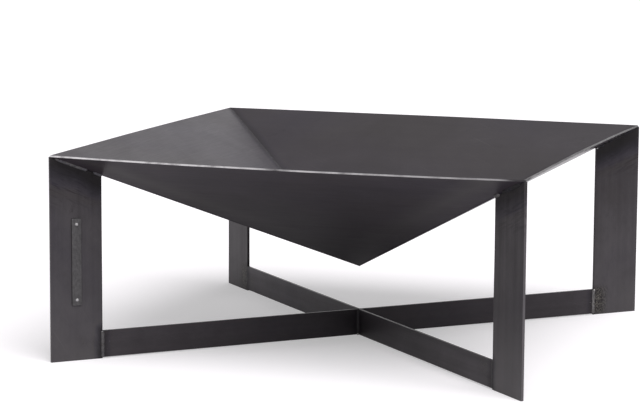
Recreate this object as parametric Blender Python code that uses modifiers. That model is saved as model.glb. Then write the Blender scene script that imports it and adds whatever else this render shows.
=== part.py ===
"""Square steel fire pit: four triangular sheets welded into a bowl, on four flat-bar legs and a floor cross.

Metres, +Z up. The origin is on the floor, straight below the bowl's tip. The rim's sides run along X and Y,
and the front side faces -Y. Legs and rails stand on edge in the bowl's two diagonal planes.
Run it with: blender --background --python part.py
"""

import math

import bmesh
import bpy
from mathutils import Matrix, Vector

# Bowl
RIM_SIDE = 0.800  # side of the square rim, along the lower edges of the sheets
BOWL_DROP = 0.219  # lower edge of the rim down to the outer tip
SHEET = 0.003  # thickness of a bowl panel

# Stand
TIP_CLEARANCE = 0.075  # from the upper edge of the rails up to the bowl's tip
LEG_WIDTH = 0.090
RAIL_HEIGHT = 0.045
RAIL_LIFT = 0.002  # the rails stop short of the floor, so only the legs stand on it
BAR = 0.005  # thickness of legs and rails, which are cut from one plate

# Welds
FILLET = 0.005  # leg length of a fillet in a corner between two faces
FILLET_CROWN = 0.0005  # how far the middle of a fillet swells out
BEAD_WIDTH = 0.006  # bead over a joint between two bars in one plane
BEAD_RISE = 0.0012
STITCH_SETBACK = 0.010  # outer edge of a leg to the start of its long head stitch
STITCH_BREAK = 0.012  # bare joint between the two head stitches
SHORT_STITCH = 0.014  # head stitch at the inner edge of a leg
SEAM_SETBACK = 0.010  # from a seam's end to the rim's corner, and from its start past the tip

# Name plate, which is blank
PLATE_LENGTH = 0.145
PLATE_WIDTH = 0.017
PLATE = 0.002  # its thickness
PLATE_CORNER = 0.001
PLATE_RAISE = 0.0035  # its middle above the middle of the leg
RIVET_INSET = 0.0095  # each end of the plate to the rivet's axis
RIVET_RADIUS = 0.0015
HEAD_RADIUS = 0.00275
HEAD_RISE = 0.0016
TAIL_RADIUS = 0.0022
TAIL_RISE = 0.001

# Clearances
SEAT = 0.0003  # between pieces that bear on each other
RIVET_CLEARANCE = 0.0003  # between a rivet and its hole, on the radius

# Fineness of round shapes
HOLE_SIDES = 24
ARC_STEPS = 6
CORNER_STEPS = 3
WELD_DISTANCE = 0.000001

# Worked out from the sizes above
ROOT_TWO = math.sqrt(2)
HALF_SIDE = RIM_SIDE / 2
SLOPE = math.atan2(BOWL_DROP, HALF_SIDE)  # of a panel, from the horizontal
HIP_SLOPE = math.atan(math.tan(SLOPE) / ROOT_TWO)  # of the line where two panels meet
HIP_FLARE = math.atan(math.sin(HIP_SLOPE))  # how far a panel rises to the side, in a section across the hip
TIP_HEIGHT = RAIL_LIFT + RAIL_HEIGHT + TIP_CLEARANCE
INNER_TIP_HEIGHT = TIP_HEIGHT + SHEET / math.cos(SLOPE)
CORNER_REACH = HALF_SIDE * ROOT_TWO  # axis to the rim's lower corner, which is a leg's outer edge
INNER_CORNER_REACH = (HALF_SIDE - SHEET * math.sin(SLOPE)) * ROOT_TWO
LEG_INNER = CORNER_REACH - LEG_WIDTH
RAIL_END = LEG_INNER - SEAT
LEG_MIDDLE = CORNER_REACH - LEG_WIDTH / 2
RIVET_PITCH = PLATE_LENGTH - 2 * RIVET_INSET
RIVET_HOLE = RIVET_RADIUS + RIVET_CLEARANCE

# Directions round the vertical axis, in degrees from +X
SIDES = {"right": 0, "back": 90, "left": 180, "front": 270}
CORNERS = {"back_right": 45, "back_left": 135, "front_left": 225, "front_right": 315}
PLATE_CORNER_NAME = "front_left"
HANDS = {"right": 1, "left": -1}  # the two faces of a leg, as seen from outside the corner

STAND_UP = Matrix.Rotation(math.radians(90), 4, "X")  # turns a flat outline up into a corner's diagonal plane


def clear_scene():
    for obj in list(bpy.data.objects):
        bpy.data.objects.remove(obj)


def make_collection(name):
    collection = bpy.data.collections.new(name)
    bpy.context.scene.collection.children.link(collection)
    return collection


def make_material(name, colour, roughness, metallic):
    material = bpy.data.materials.new(name)
    material.use_nodes = True
    shader = material.node_tree.nodes["Principled BSDF"]
    shader.inputs["Base Color"].default_value = (*colour, 1)
    shader.inputs["Roughness"].default_value = roughness
    shader.inputs["Metallic"].default_value = metallic
    return material


def place(name, mesh, parent, material):
    """A named piece of the fire pit, in the frame of its parent."""
    obj = bpy.data.objects.new(name, mesh)
    parts.objects.link(obj)
    obj.parent = parent
    if material.name not in mesh.materials:
        mesh.materials.append(material)
    return obj


def make_direction(name, degrees):
    """An empty on the bowl's axis whose +X points out in this direction."""
    empty = bpy.data.objects.new(name, None)
    empty.rotation_euler.z = math.radians(degrees)
    empty.empty_display_size = 0.05
    parts.objects.link(empty)
    return empty


def circle(centre, radius):
    turns = [2 * math.pi * i / HOLE_SIDES for i in range(HOLE_SIDES)]
    return [(centre[0] + radius * math.cos(a), centre[1] + radius * math.sin(a)) for a in turns]


def rounded_rectangle(length_x, length_y, radius):
    """Corner points of a rectangle about the origin, each corner an arc."""
    points = []
    for quarter, (sign_x, sign_y) in enumerate(((1, 1), (-1, 1), (-1, -1), (1, -1))):
        centre_x = sign_x * (length_x / 2 - radius)
        centre_y = sign_y * (length_y / 2 - radius)
        for step in range(CORNER_STEPS + 1):
            angle = math.radians(90) * (quarter + step / CORNER_STEPS)
            points.append((centre_x + radius * math.cos(angle), centre_y + radius * math.sin(angle)))
    return points


def fillet(corner, along_a, along_b):
    """Section of a fillet weld in a corner: its two legs lie along the faces, and its crown swells out."""
    corner = Vector(corner)
    start = corner + Vector(along_a).normalized() * FILLET
    end = corner + Vector(along_b).normalized() * FILLET
    outward = ((start + end) / 2 - corner).normalized()
    points = [corner]
    for step in range(ARC_STEPS + 1):
        share = step / ARC_STEPS
        swell = FILLET_CROWN * 4 * share * (1 - share)
        points.append(start.lerp(end, share) + outward * swell)
    return [tuple(point) for point in points]


def bead(centre, side):
    """Section of a bead over a flush joint: flat on the bars and round outside. side is 1 or -1, across the bars."""
    radius = (BEAD_WIDTH**2 / 4 + BEAD_RISE**2) / (2 * BEAD_RISE)
    half_angle = math.asin(BEAD_WIDTH / 2 / radius)
    back = BAR / 2 + SEAT
    points = []
    for step in range(ARC_STEPS + 1):
        angle = half_angle * (2 * step / ARC_STEPS - 1)
        rise = radius * math.cos(angle) - (radius - BEAD_RISE)
        points.append((centre + radius * math.sin(angle), side * (back + rise)))
    return points


def outline_mesh(name, outlines, thickness):
    """A flat outline in the XY plane, thickened evenly to both sides. Outlines after the first are holes in it."""
    curve = bpy.data.curves.new(name, "CURVE")
    curve.dimensions = "2D"
    curve.fill_mode = "BOTH"
    curve.extrude = thickness / 2
    for outline in outlines:
        spline = curve.splines.new("POLY")
        spline.points.add(len(outline) - 1)
        for point, (x, y) in zip(spline.points, outline):
            point.co = (x, y, 0, 1)
        spline.use_cyclic_u = True
    guide = bpy.data.objects.new(name, curve)
    parts.objects.link(guide)
    graph = bpy.context.evaluated_depsgraph_get()
    mesh = bpy.data.meshes.new_from_object(guide.evaluated_get(graph))
    mesh.name = name
    bpy.data.objects.remove(guide)
    bm = bmesh.new()
    bm.from_mesh(mesh)
    bmesh.ops.remove_doubles(bm, verts=bm.verts, dist=WELD_DISTANCE)
    bmesh.ops.recalc_face_normals(bm, faces=bm.faces)
    bm.to_mesh(mesh)
    bm.free()
    return mesh


def bar_mesh(name, start, end):
    """A rail on edge along X, from start to end, at the rails' height."""
    bm = bmesh.new()
    bmesh.ops.create_cube(bm, size=1)
    bmesh.ops.scale(bm, vec=(end - start, BAR, RAIL_HEIGHT), verts=bm.verts)
    middle = ((start + end) / 2, 0, RAIL_LIFT + RAIL_HEIGHT / 2)
    bmesh.ops.translate(bm, vec=middle, verts=bm.verts)
    mesh = bpy.data.meshes.new(name)
    bm.to_mesh(mesh)
    bm.free()
    return mesh


def trim(bm, normal):
    """Cuts off what lies past the vertical plane through the bowl's axis with this normal, less half a seat."""
    geometry = bm.verts[:] + bm.edges[:] + bm.faces[:]
    on_plane = normal * (-SEAT / 2)
    bmesh.ops.bisect_plane(bm, geom=geometry, plane_co=on_plane, plane_no=normal, clear_outer=True)
    open_edges = [edge for edge in bm.edges if edge.is_boundary]
    bmesh.ops.holes_fill(bm, edges=open_edges)


def panel_mesh():
    """A bowl panel, with +X towards the middle of its rim. Its two hip edges are mitred on the diagonal planes."""
    run = HALF_SIDE / math.cos(SLOPE)
    mesh = outline_mesh("bowl_panel", [[(0, 0), (run, -HALF_SIDE), (run, HALF_SIDE)]], SHEET)
    above_outer_face = Matrix.Translation((0, 0, SHEET / 2))
    tilt = Matrix.Rotation(-SLOPE, 4, "Y")
    at_tip = Matrix.Translation((0, 0, TIP_HEIGHT))
    mesh.transform(at_tip @ tilt @ above_outer_face)
    bm = bmesh.new()
    bm.from_mesh(mesh)
    for side in (1, -1):
        trim(bm, Vector((-1, side, 0)).normalized())
    bmesh.ops.recalc_face_normals(bm, faces=bm.faces)
    bm.to_mesh(mesh)
    bm.free()
    return mesh


def head_height(reach):
    """Height of a leg's head under the hip, this far out along the diagonal."""
    return TIP_HEIGHT + reach * math.tan(HIP_SLOPE) - SEAT / math.cos(HIP_SLOPE)


def plate_height():
    return head_height(LEG_MIDDLE) / 2 + PLATE_RAISE


def leg_mesh(name, holes):
    """A leg on end in its diagonal plane, its head cut to the slope of the hip."""
    outline = [
        (LEG_INNER, 0),
        (CORNER_REACH, 0),
        (CORNER_REACH, head_height(CORNER_REACH)),
        (LEG_INNER, head_height(LEG_INNER)),
    ]
    mesh = outline_mesh(name, [outline, *holes], BAR)
    mesh.transform(STAND_UP)
    return mesh


def hip_frame(height, reach):
    """Frame on a hip line that starts at this height on the axis: Z runs up the hip, X across it and Y out of it."""
    up_hip = Vector((math.cos(HIP_SLOPE), 0, math.sin(HIP_SLOPE)))
    across = Vector((0, 1, 0))
    out_of_hip = up_hip.cross(across)
    origin = Vector((0, 0, height)) + up_hip * (reach / math.cos(HIP_SLOPE))
    return Matrix.Translation(origin) @ Matrix((across, out_of_hip, up_hip)).transposed().to_4x4()


def hip_weld(name, section, height, start, end):
    """A weld that runs along a hip, between two distances out from the bowl's axis."""
    length = (end - start) / math.cos(HIP_SLOPE)
    mesh = outline_mesh(name, [section], length)
    mesh.transform(hip_frame(height, (start + end) / 2))
    return mesh


def seam_mesh():
    """Weld inside the bowl, in the valley between two panels."""
    rise = SEAT / math.cos(HIP_FLARE)
    run = math.cos(HIP_FLARE)
    climb = math.sin(HIP_FLARE)
    section = fillet((0, rise), (run, climb), (-run, climb))
    start = FILLET + SEAM_SETBACK
    return hip_weld("seam_weld", section, INNER_TIP_HEIGHT, start, INNER_CORNER_REACH - SEAM_SETBACK)


def stitch_mesh(name, side, start, end):
    """A stitch at a leg's head, in the corner between one face of the leg and the panel above it."""
    across = BAR / 2 + SEAT
    rise = across * math.tan(HIP_FLARE) - SEAT / math.cos(HIP_FLARE)
    along_panel = (side * math.cos(HIP_FLARE), math.sin(HIP_FLARE))
    section = fillet((side * across, rise), (0, -1), along_panel)
    return hip_weld(name, section, TIP_HEIGHT, start, end)


def rail_weld_mesh(name, section):
    """An upright weld as tall as the rails."""
    mesh = outline_mesh(name, [section], RAIL_HEIGHT)
    mesh.transform(Matrix.Translation((0, 0, RAIL_LIFT + RAIL_HEIGHT / 2)))
    return mesh


def corner_weld_meshes():
    """The welds at one corner of the bowl, from its seam down to the foot of its leg, by the names they get."""
    short_end = LEG_INNER + SHORT_STITCH
    long_start = short_end + STITCH_BREAK
    long_end = CORNER_REACH - STITCH_SETBACK
    welds = {"bowl_seam_weld_{corner}": seam_mesh()}
    for hand, side in HANDS.items():
        long_name = f"head_weld_{{corner}}_long_{hand}"
        short_name = f"head_weld_{{corner}}_short_{hand}"
        foot_name = f"foot_weld_{{corner}}_{hand}"
        welds[long_name] = stitch_mesh("long_stitch", side, long_start, long_end)
        welds[short_name] = stitch_mesh("short_stitch", side, LEG_INNER, short_end)
        welds[foot_name] = rail_weld_mesh("foot_weld", bead(LEG_INNER - SEAT / 2, side))
    return welds


def cross_weld_mesh():
    """Fillet between two rails where they cross, with +X along the line that halves their angle."""
    off_axis = (BAR / 2 + SEAT) * ROOT_TWO
    return rail_weld_mesh("cross_weld", fillet((off_axis, 0), (1, 1), (1, -1)))


def plate_mesh():
    """The blank name plate on the leg's face, drilled for its two rivets."""
    outline = rounded_rectangle(PLATE_WIDTH, PLATE_LENGTH, PLATE_CORNER)
    holes = [circle((0, side * RIVET_PITCH / 2), RIVET_HOLE) for side in (1, -1)]
    mesh = outline_mesh("name_plate", [outline, *holes], PLATE)
    mesh.transform(STAND_UP)
    mesh.transform(Matrix.Translation((LEG_MIDDLE, BAR / 2 + SEAT + PLATE / 2, plate_height())))
    return mesh


def rivet_mesh():
    """Half outline of a rivet about its Z axis, head up: z 0 is the middle of the leg's thickness."""
    head_seat = BAR / 2 + SEAT + PLATE + SEAT
    tail_seat = -BAR / 2 - SEAT
    profile = []
    for step in range(ARC_STEPS + 1):
        angle = math.radians(90) * step / ARC_STEPS
        profile.append((HEAD_RADIUS * math.sin(angle), head_seat + HEAD_RISE * math.cos(angle)))
    profile.append((RIVET_RADIUS, head_seat))
    profile.append((RIVET_RADIUS, tail_seat))
    for step in range(ARC_STEPS + 1):
        angle = math.radians(90) * step / ARC_STEPS
        profile.append((TAIL_RADIUS * math.cos(angle), tail_seat - TAIL_RISE * math.sin(angle)))
    mesh = bpy.data.meshes.new("plate_rivet")
    edges = [(i, i + 1) for i in range(len(profile) - 1)]
    mesh.from_pydata([(x, 0, z) for x, z in profile], edges, [])
    return mesh


def turn_profile(obj):
    screw = obj.modifiers.new("turn", "SCREW")
    screw.axis = "Z"
    screw.steps = HOLE_SIDES
    screw.render_steps = HOLE_SIDES
    screw.use_merge_vertices = True
    screw.merge_threshold = 0.00001
    screw.use_smooth_shade = True


def build_sides():
    """What faces a side of the bowl: its panel, and below it the weld between the two rails."""
    panel = panel_mesh()
    weld = cross_weld_mesh()
    for side, degrees in SIDES.items():
        direction = make_direction(f"side_{side}", degrees)
        place(f"bowl_panel_{side}", panel, direction, sheet_steel)
        place(f"cross_weld_{side}", weld, direction, weld_metal)


def build_leg(name, direction):
    holes = []
    if name == PLATE_CORNER_NAME:
        for side in (1, -1):
            holes.append(circle((LEG_MIDDLE, plate_height() + side * RIVET_PITCH / 2), RIVET_HOLE))
    place(f"leg_{name}", leg_mesh(f"leg_{name}", holes), direction, bar_steel)


def build_rails(directions):
    through = bar_mesh("floor_rail_through", -RAIL_END, RAIL_END)
    place("floor_rail_through", through, directions["front_right"], bar_steel)
    short = bar_mesh("floor_rail_short", BAR / 2 + SEAT, RAIL_END)
    for name in ("front_left", "back_right"):
        place(f"floor_rail_{name}", short, directions[name], bar_steel)


def build_name_plate(direction):
    place("name_plate", plate_mesh(), direction, plate_steel)
    profile = rivet_mesh()
    for name, side in (("upper", 1), ("lower", -1)):
        rivet = place(f"plate_rivet_{name}", profile, direction, rivet_metal)
        rivet.location = (LEG_MIDDLE, 0, plate_height() + side * RIVET_PITCH / 2)
        rivet.rotation_euler.x = math.radians(-90)
        turn_profile(rivet)


def build_corners():
    """What lies in the diagonal planes: legs, rails, the welds on them and the name plate."""
    directions = {name: make_direction(f"corner_{name}", degrees) for name, degrees in CORNERS.items()}
    welds = corner_weld_meshes()
    for name, direction in directions.items():
        build_leg(name, direction)
        for weld_name, mesh in welds.items():
            place(weld_name.format(corner=name), mesh, direction, weld_metal)
    build_rails(directions)
    build_name_plate(directions[PLATE_CORNER_NAME])


clear_scene()
parts = make_collection("fire_pit")
sheet_steel = make_material("sheet_steel", (0.055, 0.055, 0.060), 0.42, 0.85)
bar_steel = make_material("bar_steel", (0.050, 0.049, 0.052), 0.50, 0.85)
weld_metal = make_material("weld_metal", (0.070, 0.068, 0.070), 0.38, 0.90)
plate_steel = make_material("plate_steel", (0.080, 0.078, 0.078), 0.45, 0.85)
rivet_metal = make_material("rivet_metal", (0.420, 0.420, 0.420), 0.30, 1.00)
build_sides()
build_corners()
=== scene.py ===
import math
import random

import bmesh
import bpy
from mathutils import Matrix, Vector, noise


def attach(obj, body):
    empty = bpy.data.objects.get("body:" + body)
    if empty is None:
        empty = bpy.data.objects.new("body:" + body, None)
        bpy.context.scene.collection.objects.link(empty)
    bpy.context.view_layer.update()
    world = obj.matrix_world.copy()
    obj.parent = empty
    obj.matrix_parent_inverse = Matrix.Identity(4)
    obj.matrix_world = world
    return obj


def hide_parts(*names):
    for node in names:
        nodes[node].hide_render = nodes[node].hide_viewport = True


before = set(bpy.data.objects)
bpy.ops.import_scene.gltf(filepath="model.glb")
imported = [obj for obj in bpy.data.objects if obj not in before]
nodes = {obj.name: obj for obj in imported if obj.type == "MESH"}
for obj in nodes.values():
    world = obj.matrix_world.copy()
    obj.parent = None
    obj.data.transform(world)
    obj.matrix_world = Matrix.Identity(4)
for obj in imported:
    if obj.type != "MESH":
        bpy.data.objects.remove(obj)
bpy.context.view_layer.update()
scene = bpy.context.scene
up = Vector((0, 0, 1))
print("frame loaded,", len(nodes), "nodes")


# directions on plan, in degrees round from +X
sides = {"right": 0, "back": 90, "left": 180, "front": 270}
corners = {"back_right": 45, "back_left": 135, "front_left": 225, "front_right": 315}
hands = {"right": 1, "left": -1}  # the two faces of a leg, seen from outside the corner


def outward(degrees):
    return Vector((math.cos(math.radians(degrees)), math.sin(math.radians(degrees)), 0))


def sideways(degrees):
    return outward(degrees + 90)


# how far a CAD node reaches along a direction, lowest and highest
def spanOf(node, direction):
    along = [v.co.dot(direction) for v in nodes[node].data.vertices]
    return min(along), max(along)


def camel(node):
    first, *rest = node.split("_")
    return first + "".join(word.capitalize() for word in rest)


# sizes of the pit, read off the frame
def readSizes():
    out, across = outward(corners["front_left"]), sideways(corners["front_left"])
    panelOut = outward(sides["front"])
    panel = [v.co for v in nodes["bowl_panel_front"].data.vertices]
    rimLow = max(panel, key=lambda p: p.dot(panelOut))
    tip = min(panel, key=lambda p: p.z)
    slope = math.atan2(rimLow.z - tip.z, rimLow.dot(panelOut) - tip.dot(panelOut))
    legInner, legOuter = spanOf("leg_front_left", out)
    leg = [v.co for v in nodes["leg_front_left"].data.vertices]
    onInnerSide = legInner + 0.001  # to tell the head's inner end from its outer one
    railLow, railHigh = spanOf("floor_rail_through", up)
    return {
        "halfSide": rimLow.dot(panelOut),
        "tip": tip.z - tip.dot(panelOut) * math.tan(slope),
        "slope": slope,
        "sheet": (max(p.z for p in panel) - rimLow.z) / math.cos(slope),
        "legInner": legInner,
        "legOuter": legOuter,
        "headInner": max(p.z for p in leg if p.dot(out) < onInnerSide),
        "headOuter": max(p.z for p in leg),
        "halfBar": spanOf("leg_front_left", across)[1],
        "railLow": railLow,
        "railHigh": railHigh,
        "railEnd": spanOf("floor_rail_through", outward(corners["front_right"]))[1],
    }


size = readSizes()
hipSlope = math.atan(math.tan(size["slope"]) / math.sqrt(2))
hipFlare = math.atan(math.sin(hipSlope))  # how a panel rises to each side of the hip
legWidth = size["legOuter"] - size["legInner"]
print("rim side {:.3f} m, leg {:.3f} m wide".format(2 * size["halfSide"], legWidth))


# camera
cameraPlace = {
    "location": (1.3441, -4.0123, 0.8478),
    "azimuth": 19.456,  # looks along +Y, turned this far towards -X
    "downward": 8.252,
    "roll": 0.325,
    "lens": 139.02,
    "sensor": 36.0,
    "farthest": 200,
}


def buildCamera():
    data = bpy.data.cameras.new("camera")
    data.lens = cameraPlace["lens"]
    data.sensor_width = cameraPlace["sensor"]
    data.clip_end = cameraPlace["farthest"]
    camera = bpy.data.objects.new("camera", data)
    scene.collection.objects.link(camera)
    turn = Matrix.Rotation(math.radians(cameraPlace["azimuth"]), 4, "Z")
    tilt = Matrix.Rotation(math.radians(90 - cameraPlace["downward"]), 4, "X")
    roll = Matrix.Rotation(math.radians(cameraPlace["roll"]), 4, "Z")
    camera.matrix_world = Matrix.Translation(cameraPlace["location"]) @ turn @ tilt @ roll
    scene.camera = camera


buildCamera()
print("camera set")


# node helpers
def addNode(tree, kind, inputs=None, **settings):
    made = tree.nodes.new("ShaderNode" + kind)
    for name, value in settings.items():
        setattr(made, name, value)
    for name, value in (inputs or {}).items():
        if isinstance(value, bpy.types.NodeSocket):
            tree.links.new(value, made.inputs[name])
        else:
            made.inputs[name].default_value = value
    return made


def maths(tree, operation, first, second):
    return addNode(tree, "Math", {0: first, 1: second}, operation=operation).outputs[0]


def times(tree, first, second):
    return maths(tree, "MULTIPLY", first, second)


def plus(tree, first, second):
    return maths(tree, "ADD", first, second)


# a value from one range to another, held at both ends
def ranged(tree, value, low, high, toLow=0.0, toHigh=1.0):
    spread = {"Value": value, "From Min": low, "From Max": high, "To Min": toLow, "To Max": toHigh}
    return addNode(tree, "MapRange", spread).outputs["Result"]


def mixed(tree, factor, first, second):
    made = addNode(tree, "Mix", data_type="RGBA")
    for index, value in ((0, factor), (6, first), (7, second)):
        if isinstance(value, bpy.types.NodeSocket):
            tree.links.new(value, made.inputs[index])
        else:
            made.inputs[index].default_value = value if index == 0 else (*value, 1)
    return made.outputs[2]


# colour stops along a value: (position, colour)
def ramp(tree, value, stops):
    made = addNode(tree, "ValToRGB", {"Fac": value})
    while len(made.color_ramp.elements) < len(stops):
        made.color_ramp.elements.new(0.5)
    for element, (position, colour) in zip(made.color_ramp.elements, stops):
        element.position = position
        element.color = (*colour, 1)
    return made.outputs["Color"]


# noise whose grain is pulled out along the first axis: stretch is cycles per metre each way
def grainNoise(tree, place, stretch, detail, roughness, distortion=0.0):
    pulled = addNode(tree, "Mapping", {"Vector": place, "Scale": stretch}).outputs["Vector"]
    grain = {"Scale": 1.0, "Detail": detail, "Roughness": roughness, "Distortion": distortion}
    return addNode(tree, "TexNoise", {"Vector": pulled, **grain}).outputs["Fac"]


# one noise for each named mark: stretch, detail, roughness and, where it has one, distortion
def allNoises(tree, place, marks):
    return {mark: grainNoise(tree, place, *grain) for mark, grain in marks.items()}


# the same place turned in the plate's plane, for marks that don't follow the rolling
def leaning(tree, place, degrees):
    turned = {"Vector": place, "Rotation": (0, 0, math.radians(degrees))}
    return addNode(tree, "Mapping", turned).outputs["Vector"]


# what paintAttributes leaves on a plate
def rolledPlaceOf(tree):
    return addNode(tree, "Attribute", attribute_name="rolled").outputs["Vector"]


def seamGapOf(tree):
    return addNode(tree, "Attribute", attribute_name="seamGap").outputs["Fac"]


def positionOf(tree):
    return addNode(tree, "NewGeometry").outputs["Position"]


# how far a point lies towards the back right corner, below zero towards the front left one
def towardsBackRight(tree, position):
    onPlan = {0: position, 1: (1, 1, 0)}
    return addNode(tree, "VectorMath", onPlan, operation="DOT_PRODUCT").outputs["Value"]


def wayFromMiddle(tree, position):
    onPlan = {0: position, 1: (1, 1, 0)}
    flat = addNode(tree, "VectorMath", onPlan, operation="MULTIPLY").outputs["Vector"]
    return addNode(tree, "VectorMath", {0: flat}, operation="LENGTH").outputs["Value"]


def newMaterial(name):
    material = bpy.data.materials.new(name)
    material.use_nodes = True
    tree = material.node_tree
    return material, tree, tree.nodes["Principled BSDF"]


# relief is a height, the share of it that shows, and its depth in metres
def fitShader(tree, shader, look, colour, rough, relief):
    height, strength, depth = relief
    bump = addNode(tree, "Bump", {"Height": height, "Strength": strength, "Distance": depth})
    tree.links.new(colour, shader.inputs["Base Color"])
    tree.links.new(rough, shader.inputs["Roughness"])
    tree.links.new(bump.outputs["Normal"], shader.inputs["Normal"])
    shader.inputs["Metallic"].default_value = look["metallic"]
    shader.inputs["Specular IOR Level"].default_value = look["gloss"]


def like(look, **changes):
    return {**look, **changes}


# marks that only some plates carry, as shares
noMarks = {
    "fringe": 0.0,  # paler scale beyond the burnt one
    "underFire": 0.0,  # painted shade under the bowl, darker towards the middle
    "headMarks": 0.0,  # slanting strokes on a leg's head
    "residue": 0.0,  # slag beside a foot weld
    "cornerDust": 0.0,  # paler towards the back right corner
}
# hot-rolled steel with its mill scale on
millScale = {
    "inside": {
        **noMarks,
        "dark": (0.027, 0.0235, 0.028),
        "pale": (0.041, 0.036, 0.042),
        "violet": (0.034, 0.030, 0.043),
        "brown": (0.037, 0.033, 0.032),
        "tint": 0.40,  # share of violet and brown
        "cloud": 9.0,  # per metre
        "grain": 0.22,  # share of streaks, the rest is clouds
        "streak": (1.6, 60.0, 60.0),
        "smudge": 0.35,
        "dust": (0.075, 0.071, 0.070),
        "dustTop": 0.14,  # floor dust and painted light, paler towards the floor, thin out up to this height
        "dustShare": 0.0,
        "rough": 0.39,
        "roughSpread": 0.035,
        "metallic": 0.12,
        "gloss": 0.13,
        "relief": 0.00008,
        "reliefShare": 0.13,
        "heat": 0.3,
        "scratches": 0.5,
        "patches": 0.20,
        "cornerDust": 0.28,
    },
    "leg": {
        **noMarks,
        "dark": (0.022, 0.020, 0.023),
        "pale": (0.060, 0.055, 0.060),
        "violet": (0.036, 0.032, 0.045),
        "brown": (0.041, 0.036, 0.036),
        "tint": 0.40,
        "cloud": 14.0,
        "grain": 0.60,
        "streak": (1.3, 62.0, 62.0),
        "smudge": 0.5,
        "dust": (0.090, 0.085, 0.087),
        "dustTop": 0.26,
        "dustShare": 0.50,
        "rough": 0.41,
        "roughSpread": 0.12,
        "metallic": 0.12,
        "gloss": 0.19,
        "relief": 0.00010,
        "reliefShare": 0.5,
        "heat": 0.9,
        "headMarks": 0.8,
        "scratches": 0.35,
        "patches": 0.42,
    },
}
millScale["outside"] = like(
    millScale["inside"],
    dark=(0.036, 0.0305, 0.037),
    pale=(0.052, 0.0445, 0.053),
    metallic=0.08,
    gloss=0.04,
    grain=0.34,
    heat=0.9,
    fringe=0.62,
    # painted shade under the bowl on the outer faces
    underFire=1.0,
    cornerDust=0.0,
)
millScale["shinyOutside"] = like(millScale["outside"], gloss=0.13, rough=0.29)
millScale["rail"] = like(
    millScale["leg"],
    pale=(0.051, 0.045, 0.051),
    dustShare=0.16,
    gloss=0.15,
    # painted shade under the bowl on the rails
    underFire=0.42,
    headMarks=0.0,
    heat=0.5,
)
# more dust and painted light low on the front left leg
millScale["dustier"] = like(millScale["leg"], dustTop=0.30, dustShare=0.64)
millScale["spattered"] = like(millScale["leg"], heat=1.0, residue=0.9)  # its foot weld went badly
millScale["satin"] = like(
    millScale["leg"],
    pale=(0.050, 0.046, 0.050),
    # more dust and painted light low on the front right leg
    dustTop=0.14,
    dustShare=0.80,
    gloss=0.155,
    heat=0.7,
)
# darker back left leg: duller scale and partly painted shade
millScale["duller"] = like(
    millScale["leg"],
    dark=(0.018, 0.016, 0.018),
    pale=(0.041, 0.037, 0.041),
    gloss=0.12,
    residue=0.8,
)
# narrow outer faces of the legs, lighter and glossier: rubbed wear and partly a painted highlight
millScale["rubbed"] = like(
    millScale["leg"],
    dark=(0.052, 0.048, 0.052),
    pale=(0.108, 0.101, 0.108),
    grain=0.8,
    patches=0.2,
    gloss=0.35,
)

# cycles per metre along the rolling and across it, detail, roughness, distortion
scaleNoise = {
    "hairs": ((18, 1100, 1100), 2, 0.5),
    "specks": ((620, 620, 620), 3, 0.7),
    "drift": ((3.2, 4.6, 4.6), 3, 0.5, 0.6),
    "smears": ((26, 44, 44), 5, 0.68, 1.2),
    "patches": ((70, 150, 150), 5, 0.66, 0.5),
    "crumbs": ((330, 330, 330), 3, 0.6, 0.3),
}
streakGrain = (6, 0.6)
cloudGrain = (7, 0.62, 0.4)
strokeNoise = ((30, 230, 230), 4, 0.6, 0.7)
scratchNoise = ((7, 1500, 1500), 1, 0.4, 0.1)
scratchedAreas = ((9, 9, 9), 2, 0.5)

# where each mark starts and ends: in noise values, in metres, or in shares of heatReach
scaleFade = {
    "worn": (0.37, 0.63),
    "patches": (0.46, 0.66),
    "specks": (0.60, 0.78, 0.0, 0.35),
    "smears": (0.64, 0.76),
    "strokes": (0.48, 0.60),
    "strokeHeight": (0.250, 0.290),
    "scratches": (0.70, 0.76),
    "scratchedAreas": (0.50, 0.60),
    "burnt": (0.30, 0.98),
    # painted shade under the bowl, by way from the middle
    "underFire": (0.05, 0.62),
    "cornerDust": (0.0, 0.75),
    "dustClouds": (0.25, 0.6, 0.6, 1.0),
    "dustHeat": (0.25, 0.8, 0.15, 1.0),
    "residueGap": (0.027, 0.056, 1.0, 0.0),
    "residueHeight": (0.056, 0.046),
    "residueClouds": (0.36, 0.50),
    "roughWear": (0.38, 0.62),
    "roughHairs": (0.35, 0.65, -0.03, 0.03),
    "roughHeat": (0.1, 0.7, 0.16, 0.0),
}
driftStops = (("violet", 0.30), ("pale", 0.50), ("brown", 0.70))
reliefShares = {"hairs": 0.20, "specks": 0.25, "streaks": 0.55}
strokeLean = -66
scratchLeans = (14, -31)

# what the heat of a weld leaves beside it, by distance in shares of heatReach
heatReach = 0.022
heatRagged = 0.7
noiseMiddle = 0.5
heatStops = [
    (0.00, (0.014, 0.013, 0.013)),
    (0.20, (0.010, 0.009, 0.010)),
    (0.42, (0.015, 0.014, 0.019)),
    (0.62, (0.028, 0.025, 0.036)),
    (0.80, (0.040, 0.034, 0.030)),
]
fringeStart, fringeMiddle, fringeEnd = 0.024, 0.052, 0.088  # then the scale is paler for a while
# crumbs beside a weld that went badly, by their noise
residueStops = [
    (0.42, (0.012, 0.011, 0.011)),
    (0.50, (0.040, 0.037, 0.033)),
    (0.62, (0.098, 0.092, 0.080)),
]
leastResidue = 0.2
# near-black: soot for smudges, head strokes and the rims by the corners, and painted shade under the bowl
soot = (0.0085, 0.0066, 0.0090)
bareScratch = (0.110, 0.104, 0.110)
scaleSheen = (1.0, 0.95, 1.0)


# a few long fine scratches: 1 in the scratch, 0 beside it
def scratchLines(tree, place, degrees):
    lines = grainNoise(tree, leaning(tree, place, degrees), *scratchNoise)
    areas = grainNoise(tree, place, *scratchedAreas)
    inArea = ranged(tree, areas, *scaleFade["scratchedAreas"])
    return times(tree, ranged(tree, lines, *scaleFade["scratches"]), inArea)


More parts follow.
